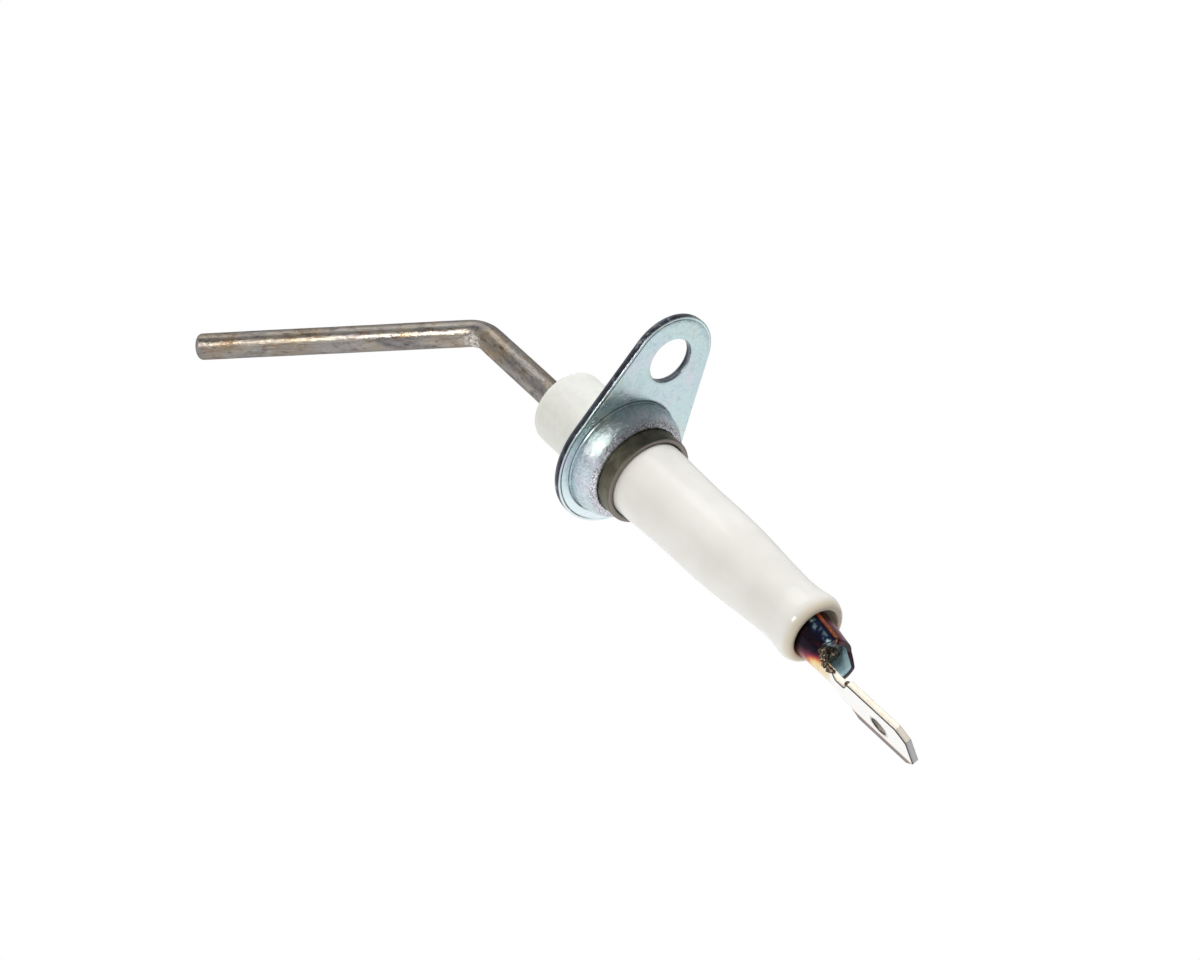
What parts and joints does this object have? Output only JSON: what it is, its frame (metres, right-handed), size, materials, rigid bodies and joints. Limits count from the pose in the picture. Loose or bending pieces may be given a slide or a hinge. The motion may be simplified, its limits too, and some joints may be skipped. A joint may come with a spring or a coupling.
{
  "type": "flame sensor probe",
  "caption": "Bent metal flame-sensing rod in a glazed ceramic insulator, held by a crimped teardrop mounting bracket, with a push-on tab terminal behind.",
  "frame": {"origin": "on the insulator's axis, in the plane of the bracket's mounting face", "axes": "+X along the insulator from the flame side to the terminal, +Z from the axis towards the screw hole, +Y completes the right-handed set"},
  "size_m": [0.1047, 0.0266, 0.038],
  "materials": {
    "rod_metal": "dull drawn heat-resistant alloy with brown and olive stains",
    "glazed_ceramic": "off-white, glossy glaze on the body, matte on the nose",
    "zinc_plated_steel": "bright zinc plate with a pale blue passivation",
    "dark_ring_steel": "dark olive-grey satin",
    "terminal_plate": "bright plated sheet, heat-tinted blue, purple and gold round the barrel",
    "weld_metal": "dark rough weld",
    "cement": "matte off-white cement"
  },
  "bodies": {
    "root": {"sensing_rod": "rod_metal", "ceramic_insulator": "glazed_ceramic", "mounting_bracket": "zinc_plated_steel", "retaining_ring": "dark_ring_steel", "terminal": "terminal_plate", "terminal_weld": "weld_metal", "front_cement": "cement", "rear_cement": "cement"}
  },
  "joints": []
}
